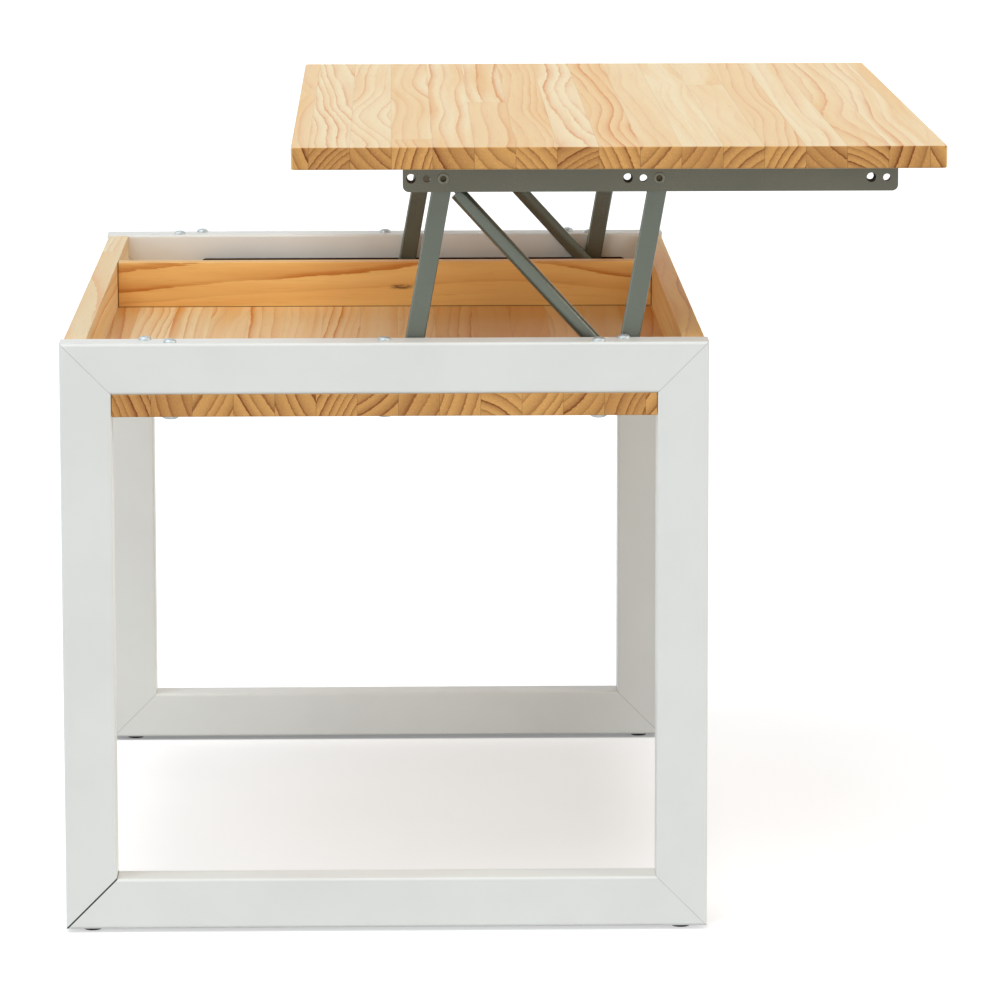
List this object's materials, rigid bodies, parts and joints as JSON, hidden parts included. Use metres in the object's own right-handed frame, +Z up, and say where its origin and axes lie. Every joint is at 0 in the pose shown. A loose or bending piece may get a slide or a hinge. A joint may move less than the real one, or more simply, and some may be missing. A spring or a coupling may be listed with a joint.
{
  "type": "lift-top coffee and dining table",
  "caption": "Pine and white steel coffee table whose top swings up and forward on sprung parallelogram linkages to dining height, over an open storage tray.",
  "frame": {"origin": "on the floor, in the middle of the box around the table with its top raised", "axes": "+X is the side that the top swings out to and the sitter faces, +Y runs along the table, +Z is up"},
  "size_m": [0.8596, 1.004, 0.774],
  "materials": {
    "white_paint": "satin white powder coat",
    "grey_paint": "satin grey paint",
    "pine_top": "clear-lacquered glued pine, staves along the table",
    "pine_tray": "clear-lacquered pine",
    "rivet_steel": "dull plated steel",
    "zinc_plate": "bright zinc plate",
    "bright_rod": "ground steel rod",
    "spring_steel": "oiled spring steel",
    "black_glide": "matt black plastic"
  },
  "bodies": {
    "base": {"near_frame_top_rail": "white_paint", "near_frame_foot_rail": "white_paint", "near_frame_rear_leg": "white_paint", "near_frame_front_leg": "white_paint", "far_frame_top_rail": "white_paint", "far_frame_foot_rail": "white_paint", "far_frame_rear_leg": "white_paint", "far_frame_front_leg": "white_paint", "tray_floor": "pine_tray", "rear_side_board": "pine_tray", "front_side_board": "pine_tray", "tray_divider": "pine_tray", "near_base_rail": "grey_paint", "far_base_rail": "grey_paint", "base_pivot_rivets": "rivet_steel", "frame_bolts": "zinc_plate", "sleeve_nuts": "zinc_plate", "base_rail_screws": "zinc_plate", "tray_screws": "zinc_plate", "floor_glides": "black_glide"},
    "near_front_link": {"near_front_link": "grey_paint"},
    "top": {"table_top": "pine_top", "near_top_rail": "grey_paint", "far_top_rail": "grey_paint", "top_pivot_rivets": "rivet_steel", "top_rail_screws": "zinc_plate"},
    "near_rear_link": {"near_rear_link": "grey_paint"},
    "far_front_link": {"far_front_link": "grey_paint"},
    "far_rear_link": {"far_rear_link": "grey_paint"},
    "near_strut_sleeve": {"near_strut_sleeve": "grey_paint", "near_strut_spring": "spring_steel"},
    "near_strut_rod": {"near_strut_rod": "bright_rod"},
    "far_strut_sleeve": {"far_strut_sleeve": "grey_paint", "far_strut_spring": "spring_steel"},
    "far_strut_rod": {"far_strut_rod": "bright_rod"}
  },
  "joints": [
    {"name": "lift", "type": "hinge", "parent": "base", "child": "near_front_link", "pos_m": [0.11873, -0.4485, 0.547], "axis": [0, -1, 0], "range_deg": [0, 91.89]},
    {"name": "top_level", "type": "hinge", "parent": "near_front_link", "child": "top", "pos_m": [0.15327, -0.4485, 0.73897], "axis": [0, -1, 0], "range_deg": [-91.89, 0]},
    {"name": "near_rear_swing", "type": "hinge", "parent": "base", "child": "near_rear_link", "pos_m": [-0.09127, -0.4485, 0.547], "axis": [0, -1, 0], "range_deg": [0, 91.89]},
    {"name": "far_front_swing", "type": "hinge", "parent": "base", "child": "far_front_link", "pos_m": [0.11873, 0.4485, 0.547], "axis": [0, -1, 0], "range_deg": [0, 91.89]},
    {"name": "far_rear_swing", "type": "hinge", "parent": "base", "child": "far_rear_link", "pos_m": [-0.09127, 0.4485, 0.547], "axis": [0, -1, 0], "range_deg": [0, 91.89]},
    {"name": "near_sleeve_swing", "type": "hinge", "parent": "base", "child": "near_strut_sleeve", "pos_m": [0.11873, -0.4485, 0.547], "axis": [0, -1, 0], "range_deg": [0, 43.57]},
    {"name": "near_rod_swing", "type": "hinge", "parent": "top", "child": "near_strut_rod", "pos_m": [-0.05673, -0.4485, 0.73897], "axis": [0, -1, 0], "range_deg": [0, 43.57], "deforming": ["near_strut_spring"]},
    {"name": "far_sleeve_swing", "type": "hinge", "parent": "base", "child": "far_strut_sleeve", "pos_m": [0.11873, 0.4485, 0.547], "axis": [0, -1, 0], "range_deg": [0, 43.57]},
    {"name": "far_rod_swing", "type": "hinge", "parent": "top", "child": "far_strut_rod", "pos_m": [-0.05673, 0.4485, 0.73897], "axis": [0, -1, 0], "range_deg": [0, 43.57], "deforming": ["far_strut_spring"]}
  ],
  "couplings": [
    {"joint": "top_level", "follows": "lift", "ratio": -1},
    {"joint": "near_rear_swing", "follows": "lift", "ratio": 1},
    {"joint": "far_front_swing", "follows": "lift", "ratio": 1},
    {"joint": "far_rear_swing", "follows": "lift", "ratio": 1},
    {"joint": "near_sleeve_swing", "follows": "lift", "ratio": 0.47416},
    {"joint": "near_rod_swing", "follows": "lift", "ratio": 0.47416},
    {"joint": "far_sleeve_swing", "follows": "lift", "ratio": 0.47416},
    {"joint": "far_rod_swing", "follows": "lift", "ratio": 0.47416}
  ]
}
